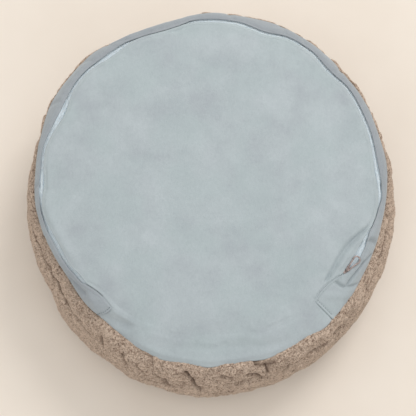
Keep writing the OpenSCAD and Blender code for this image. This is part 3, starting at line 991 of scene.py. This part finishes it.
def simulated_puff():
    """How far the stuffed wall stands off its smooth shape when cloth cut a little too long is sewn
    to it at both edges and pressed outwards: a cloth simulation of a coarse wall."""
    columns, rows, last_frame, most = 300, 26, 20, 3.5
    _, grid = wall_grid(columns, rows)
    normals = grid_normals(grid)
    uneven = (0.4 * noise(grid.reshape(-1, 3), 16, 51)).reshape(rows, columns)
    start = grid + normals * uneven[:, :, None]
    cloth = new_piece("wall_trial", start, ring_faces(rows, columns), PILE)
    edges = list(range(2 * columns)) + list(range((rows - 2) * columns, rows * columns))
    set_up_cloth(cloth, edges, last_frame)
    for frame_number in range(1, last_frame + 1):
        bpy.context.scene.frame_set(frame_number)
    apply_modifiers(cloth)
    moved = np.zeros(rows * columns * 3)
    cloth.data.vertices.foreach_get("co", moved)
    offset = ((moved.reshape(rows, columns, 3) / MM - grid) * normals).sum(2)
    bpy.data.objects.remove(cloth)
    bpy.context.scene.frame_set(1)
    return np.clip(offset - offset.mean(1)[:, None], -most, most)


def make_wall_cover():
    """The curly wall, from its seam with the velvet down to the sleeping face."""
    columns, rows = 1280, 136
    angles, grid = wall_grid(columns, rows)
    row_share = np.arange(rows) / (rows - 1)
    ends = np.clip(row_share / 0.07, 0, 1) * np.clip((1 - row_share) / 0.05, 0, 1)
    ends = (ends ** 0.6)[:, None]
    relief, crease = wall_relief(angles, grid)
    puff = spread(simulated_puff(), rows, columns)
    shape = grid + grid_normals(grid) * ((relief + puff) * ends)[:, :, None]
    flat = shape.reshape(-1, 3)
    pile = (0.55 * curls(flat, 4.2, 60) + 0.45 * curls(flat, 3.0, 80)).reshape(rows, columns)
    clumps = noise(flat, 6, 34).reshape(rows, columns)
    stand = (2.2 * pile + 0.6 * clumps - 0.6) * (0.35 + 0.65 * ends) * (1 - 0.5 * crease)
    shape = shape + grid_normals(shape) * stand[:, :, None]
    off_floor = 0.3
    shape[:, :, 2] = np.maximum(shape[:, :, 2], off_floor)
    piece = new_piece("wall_cover", shape, ring_faces(rows, columns), PILE, slot="curly_pile")
    # Painted shade: lower pile paints darker, so pits and the wall's edges near its seams are painted darker
    set_attribute(piece, "pile_height_shade", (pile * (0.45 + 0.55 * ends)).ravel())
    # Painted shade in the wall's creases
    set_attribute(piece, "crease", crease.ravel())
    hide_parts("side_wall")


def make_face_cover():
    """The curly round that the pet lies on, which is underneath here."""
    cells, seam_width = 190, 5
    flat, faces = disc_points(cells)
    flat = flat * (FACE_R - 0.5)
    r = np.hypot(flat[:, 0], flat[:, 1])
    base = np.column_stack([flat, 0 * r])
    height = 0.65 * curls(base, 4.6, 60) + 0.35 * curls(base, 3.0, 80)
    seam = np.clip((r - (FACE_R - seam_width)) / seam_width, 0, 1)
    z = 3.0 + 1.6 * seam ** 2 - 2.6 * height * (1 - 0.7 * seam) + 0.5 * noise(base, 30, 36)
    points = np.column_stack([flat, np.maximum(z, 0.0)])
    piece = new_piece("face_cover", points, [face[::-1] for face in faces], PILE, slot="curly_pile")
    # Painted shade: the face's pits are painted darker by how low the pile is
    set_attribute(piece, "pile_height_shade", height)
    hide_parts("sleeping_panel")


# -------- zip

# The coil's run round the zip, its pitch, wire and height, and the tapes' height
ZIP_FROM, ZIP_TO = -37.4, 234.4
COIL_PITCH = 1.35
COIL_TOP = -2.05
COIL_WIRE = 0.3
TAPE_TOP = -3.75


def make_coil(side, name, node):
    """One row of nylon coil as one wire, wound with its heads at the middle of the zip."""
    turns = int((ZIP_TO - ZIP_FROM) * ZIP_DEGREE / COIL_PITCH)
    steps, half_width, half_height = 9, 0.98, 0.3
    phase = np.arange(turns * steps) / steps
    stagger = 0.5 if side > 0 else 0
    angles = ZIP_FROM + (phase + stagger) * COIL_PITCH / ZIP_DEGREE
    turn = 2 * pi * phase
    across = side * half_width * (1 - np.cos(turn))
    rise = COIL_TOP - half_height + half_height * np.sin(turn) - 0.28
    path = velvet_points(angles, across, rise)
    ups = velvet_normals(angles, across) + (0.01, 0.02, 0.3)
    piece = new_piece(name, *tube(path, (COIL_WIRE, COIL_WIRE), 5, False, ups), COIL, slot="zip_coil")
    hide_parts(node)


def make_tape(side, name, node, folds):
    """One woven tape: flat under the coil, then up against the velvet."""
    angles = np.arange(ZIP_FROM - 0.3, ZIP_TO + 0.3, 0.5)
    profile = [(0.1, TAPE_TOP), (1.6, TAPE_TOP), (3.2, TAPE_TOP + 0.05), (4.6, -3.2), (6.2, -2.4),
               (8.5, -2.1), (12, -2.4)]
    grid = np.stack([velvet_points(angles, side * far, rise, folds) for far, rise in profile])
    piece = new_piece(name, grid, grid_faces(*grid.shape[:2]), TAPE, slot="zip_tape")
    flip_if_inward(piece)
    thicken(piece, 0.4)
    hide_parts(node)


def slider_space(points):
    """Points given in the slider's own axes (across, along, up) as points in the CAD frame."""
    rad = radians(SLIDER_AT)
    level = np.array([cos(rad), sin(rad), 0])
    across = cos(ZIP_SLOPE) * level - sin(ZIP_SLOPE) * np.array([0, 0, 1])
    along = np.array([-sin(rad), cos(rad), 0])
    up = np.cross(across, along)
    return HINGE - up * HINGE_LIFT + np.asarray(points) @ np.stack([across, along, up])


CORNERS = np.array([(-1, -1), (1, -1), (1, 1), (-1, 1)])


def plate(outline, low, high, soften):
    """A flat plate with rounded edges, from an outline and two heights."""
    outline = np.array(outline, float)
    away = outline - outline.mean(0)
    away /= np.linalg.norm(away, axis=1)[:, None]
    rings = []
    for level, edge, turns in ((low, 1, (0, 30, 60, 90)), (high, -1, (90, 60, 30, 0))):
        for turn in np.radians(turns):
            inset = outline - away * soften * (1 - sin(turn))
            z = level + edge * soften * (1 - cos(turn))
            rings.append(np.column_stack([inset, np.full(len(outline), z)]))
    count = len(outline)
    points = np.concatenate(rings)
    faces = grid_faces(len(rings), count, closed=True)
    faces += [tuple(range(count))[::-1], tuple(range(len(points) - count, len(points)))]
    return points, faces


def slider_outline():
    """The slider's plate from above: a wide rounded nose and a narrower tail."""
    half_length, half_width, steps = 5.2, 2.75, 28
    shape = []
    for k in range(steps):
        turn = 2 * pi * k / steps
        y = half_length * sin(turn)
        taper = half_width - 0.09 * max(y, 0)
        shape.append((taper * copysign(abs(cos(turn)) ** 0.35, cos(turn)), y))
    return shape


def make_slider():
    """Slider body: two plates, side flanges, a post between them and the bridge over the top."""
    parts = [plate(slider_outline(), -1.98, -1.42, 0.2), plate(slider_outline(), -5.0, -4.45, 0.2)]
    for side in (-1, 1):
        flange = (side * 2.45, 0) + CORNERS * (side * 0.25, 4.6)
        parts.append(plate(flange, -3.3, -1.8, 0.1))
    parts.append(plate((0, -3.4) + CORNERS * (0.3, 1.3), -4.6, -1.8, 0.05))
    arch = []
    for turn in pi * np.arange(25) / 24:
        y = -2.15 * copysign(abs(cos(turn)) ** 0.5, cos(turn))
        arch.append((0, y, -1.6 + 3.3 * max(sin(turn), 0) ** 0.5))
    parts.append(tube(arch, (0.62, 0.36), 12, False, [(0, -y, z + 2.5) for _, y, z in arch]))
    points, faces = joined(parts)
    piece = new_piece("slider_shell", slider_space(points), faces, METAL, body="slider", slot="slider_metal")
    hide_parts("slider_body")


def pull_line():
    """Middle line of the pull's loop: its round end, its two sides, and its eye over the bridge."""
    far, wide, narrow, neck = 16.4, 4.15, 1.5, 5.4
    lean = asin((wide - narrow) / (far - neck))
    loop = []
    for k in range(33):
        turn = -lean + (pi + 2 * lean) * k / 32
        loop.append((wide * cos(turn), far + wide * sin(turn), 0))
    round_side = np.array([-wide * cos(lean), far - wide * sin(lean), 0])
    neck_side = np.array([-narrow * cos(lean), neck - narrow * sin(lean), 0])
    side = [tuple(round_side + (neck_side - round_side) * share) for share in (0.25, 0.5, 0.75)]
    eye = [(-1.65, neck - 1.0, 0), (-1.65, 2.6, 0), (-1.65, 1.0, 0), (-1.3, 0.1, 0), (-0.7, 0, 0)]
    mirrored = [(-x, y, z) for x, y, z in (side + eye)[::-1]]
    return loop + side + eye + [(0, 0, 0)] + mirrored


def make_pull():
    """Teardrop wire loop with a small crossbar that hangs on the bridge, lying a little askew."""
    up = (0, 0, 1)
    line = pull_line()
    bar = [(x, 3.9, 0) for x in np.linspace(-1.6, 1.6, 7)]
    points, faces = joined([tube(line, (0.92, 0.5), 12, True, [up] * len(line)),
                            tube(bar, (0.5, 0.4), 10, False, [up] * len(bar))])
    askew = np.array(Matrix.Rotation(radians(7.0), 3, "Z"))
    lifted = points @ askew + (0, 0, HINGE_LIFT)
    piece = new_piece("pull_loop", slider_space(lifted), faces, METAL, body="pull", slot="slider_metal")
    smooth = piece.modifiers.new("smooth", "SUBSURF")
    smooth.levels = smooth.render_levels = 1
    apply_modifiers(piece)
    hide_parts("slider_pull")


# -------- stitches

def stitches(line, length, gap, radius):
    """Single stitches along a line of (points, up directions), each a small capsule that dips in at
    its ends."""
    path, ups = (np.asarray(part, float) for part in line)
    walked = np.concatenate([[0], np.cumsum(np.linalg.norm(np.diff(path, axis=0), axis=1))])
    parts = []
    at = 0.0
    while at + length < walked[-1]:
        places = at + length * np.array([0, 0.12, 0.35, 0.65, 0.88, 1])
        middle, up = (np.stack([np.interp(places, walked, part[:, k]) for k in range(3)], 1)
                      for part in (path, ups))
        middle = middle + up * (radius * np.array([-1.4, -0.1, 0.45, 0.45, -0.1, -1.4]))[:, None]
        parts.append(tube(middle, (radius, radius), 6, False, up))
        at += length + gap
    return joined(parts)


def seam_line(angles, out, lift, folds):
    """A line on the velvet and the directions up from it."""
    out, lift = out + 0 * angles, lift + 0 * angles
    return velvet_points(angles, out, lift, folds), velvet_normals(angles, out)


def sew(name, node, rows, material=TONAL_THREAD, slot="thread"):
    """One row or more of stitches as one piece."""
    piece = new_piece(name, *joined(rows), material, slot=slot)
    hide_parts(node)


def sew_zip():
    """The topstitching on both sides of the zip and the two rows of the closed seam."""
    along = np.arange(ZIP_FROM + 1, ZIP_TO - 1, 0.3)
    off_lip = half_slit(along) + 5.0
    inner = seam_line(along, -off_lip, 0, VELVET_FOLDS)
    outer = seam_line(along, off_lip, 0, STRIP_FOLDS)
    sew("topstitch_inner", "zip_thread_inner", [stitches(inner, 2.6, 0.7, 0.17)])
    sew("topstitch_outer", "zip_thread_outer", [stitches(outer, 2.6, 0.7, 0.17)])
    closed = np.arange(STRIP_FROM + 0.3, ZIP_FROM + 0.2, 0.1)
    rows = [seam_line(closed, -1.7, 0.25, VELVET_FOLDS), seam_line(closed, 2.3, 0.25, STRIP_FOLDS)]
    sew("closed_seam_stitches", "closed_seam_thread", [stitches(row, 2.3, 1.0, 0.3) for row in rows])


def sew_strip_end(angle, name, node, radius):
    """The stitches across one end of the strip."""
    out = np.linspace(1.5, 26, 40)
    line = seam_line(strip_angle(np.full(len(out), angle), out), out, 0, STRIP_FOLDS)
    sew(name, node, [stitches(line, 2.4, 0.9, radius)], SEAM_THREAD)


def sew_cover():
    """The velvet's seam and the sleeping face's seam with the wall, and the wall's closing seam."""
    ring = np.arange(0, 360, 0.4)
    edge = seam_line(ring, cloth_width(ring) - 1.0, -2.2, VELVET_FOLDS)
    rad = np.radians(ring)
    foot_r = FACE_R + 0.3
    foot = np.stack([foot_r * np.cos(rad), foot_r * np.sin(rad), 3.6 + 0 * rad], 1)
    down = np.tile([0.0, 0.0, -1.0], (len(ring), 1))
    _, grid = wall_grid(720, 60)
    seam = grid[4:54, 0]
    outward = np.tile([0.0, 1.0, 0.3], (len(seam), 1))
    for name, node, line, gap in (
            ("base_edge_stitches", "base_edge_thread", edge, 0.6),
            ("face_edge_stitches", "face_edge_thread", (foot, down), 0.6),
            ("wall_closing_stitches", "wall_closing_thread", (seam - outward * 1.2, outward), 0.7)):
        sew(name, node, [stitches(line, 3.0, gap, 0.25)], PILE_THREAD, "pile_thread")


# -------- inner case

def inside_wall(rows, inset):
    """The wall's smooth face drawn in towards its axis, clear of the wall's folds."""
    _, grid = wall_grid(CASE_COLUMNS, rows)
    r = np.hypot(grid[:, :, 0], grid[:, :, 1])
    z = grid[:, :, 2]
    grid[:, :, :2] *= (1 - inset / r)[:, :, None]
    grid[:, :, 2] = inset - 10 + (z - z.min()) * (0.96 - inset / 160)
    return grid


def shrunk(ring, share, rise):
    """An edge of the case shrunk towards its middle, which is over the zip's axis if it is the top."""
    return ring * (share, share, 1) + (0, rise * ZIP_AXIS[1] * (1 - share), rise * case_rise(share))


CASE_COLUMNS = 180
CASE_T = 0.8


def make_case_band():
    """The band of the plain inner case."""
    grid = inside_wall(26, 17.0)
    faces = ring_faces(*grid.shape[:2])
    piece = new_piece("case_band", grid, faces, CASE, slot="case_cloth")
    thicken(piece, CASE_T)
    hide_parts("inner_case_band")
    return grid[0], grid[-1]


def make_fibre_pad():
    """The fibre that fills the case."""
    grid = inside_wall(20, 20.0)
    shares = (0.03, 0.3, 0.6, 0.85)
    rings = [shrunk(grid[0], share, 1) for share in shares] + list(grid)
    rings += [shrunk(grid[-1], share, 0) for share in shares[::-1]]
    points = np.concatenate(rings)
    points = points + 0.8 * np.stack([noise(points, 25, seed) for seed in (91, 92, 93)], 1)
    faces = ring_faces(len(rings), CASE_COLUMNS)
    last_ring = range(len(points) - CASE_COLUMNS, len(points))
    faces += [tuple(range(CASE_COLUMNS)), tuple(last_ring)[::-1]]
    piece = new_piece("fibre_pad", points, faces, FIBRE, slot="fibre")
    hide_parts("fibre_filling")


def make_case_round(name, node, edge, rise):
    """One of the case's two rounds, drawn in from the band's edge."""
    points = np.concatenate([shrunk(edge, share, rise) for share in np.linspace(1, 0.02, 16)])
    faces = grid_faces(16, CASE_COLUMNS, closed=True)
    faces.append(tuple(range(len(points) - CASE_COLUMNS, len(points))))
    piece = new_piece(name, points, faces, CASE, slot="case_cloth")
    flip_if_inward(piece)
    thicken(piece, CASE_T)
    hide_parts(node)


def make_inner_case():
    """The plain case inside the cover, and the fibre that fills it."""
    top, foot = make_case_band()
    make_fibre_pad()
    make_case_round("case_base", "inner_case_base", top, 1)
    make_case_round("case_face", "inner_case_face", foot, 0)


# -------- stage, light and camera

def make_lamp(name, place, size, power):
    """A soft square lamp aimed at the bed."""
    data = bpy.data.lights.new(name, "AREA")
    data.size = size
    data.energy = power
    data.color = (1.0, 0.985, 0.965)
    lamp = bpy.data.objects.new(name, data)
    lamp.location = place
    aim = Vector((0, 0, 0.06)) - Vector(place)
    lamp.rotation_euler = aim.to_track_quat("-Z", "Y").to_euler()
    bpy.context.scene.collection.objects.link(lamp)


def make_stage():
    """Plain pale floor and soft light from the upper right."""
    bpy.ops.mesh.primitive_plane_add(size=8, location=(0, 0, 0))
    floor = bpy.context.object
    floor.name = "floor"
    floor.data.materials.append(floor_material())
    make_lamp("key", (1.9, 2.9, 3.3), 1.8, 86)
    make_lamp("fill", (-1.6, -0.6, 2.2), 2.4, 4)
    world = bpy.data.worlds.new("studio")
    world.use_nodes = True
    background = world.node_tree.nodes["Background"]
    background.inputs["Color"].default_value = (1.0, 0.99, 0.975, 1)
    background.inputs["Strength"].default_value = 0.9
    bpy.context.scene.world = world
    bpy.context.scene.view_settings.view_transform = "Standard"


def make_camera():
    """Nearly from above, leaning back a little over the near side."""
    low, high = (Vector(corner) for corner in cad_box)
    aim = (low + high) / 2 + Vector((-0.0014, -0.0191, 0))
    lean, roll, distance = 0.25, 0.029, 1.341
    data = bpy.data.cameras.new("camera")
    data.lens = 94.9
    data.sensor_width = 36
    camera = bpy.data.objects.new("camera", data)
    back = Vector((0, -sin(lean), cos(lean)))
    level_up = Vector((0, cos(lean), sin(lean)))
    level_right = level_up.cross(back)
    right = cos(roll) * level_right + sin(roll) * level_up
    up = cos(roll) * level_up - sin(roll) * level_right
    turn = Matrix((right, up, back)).transposed().to_4x4()
    turn.translation = aim + back * distance
    camera.matrix_world = turn
    bpy.context.scene.collection.objects.link(camera)
    bpy.context.scene.camera = camera


make_camera()
make_stage()
make_inner_case()
make_face_cover()
make_wall_cover()
make_base_cover()
make_strip_cover()
make_tape(-1, "tape_inner", "zip_tape_inner", VELVET_FOLDS)
make_coil(-1, "coil_inner", "zip_coil_inner")
make_tape(1, "tape_outer", "zip_tape_outer", STRIP_FOLDS)
make_coil(1, "coil_outer", "zip_coil_outer")
make_slider()
make_pull()
sew_zip()
sew_strip_end(STRIP_TO - 0.55, "strip_end_stitches_left", "strip_end_thread_left", 0.4)
sew_strip_end(STRIP_FROM + 0.75, "strip_end_stitches_right", "strip_end_thread_right", 0.3)
sew_cover()
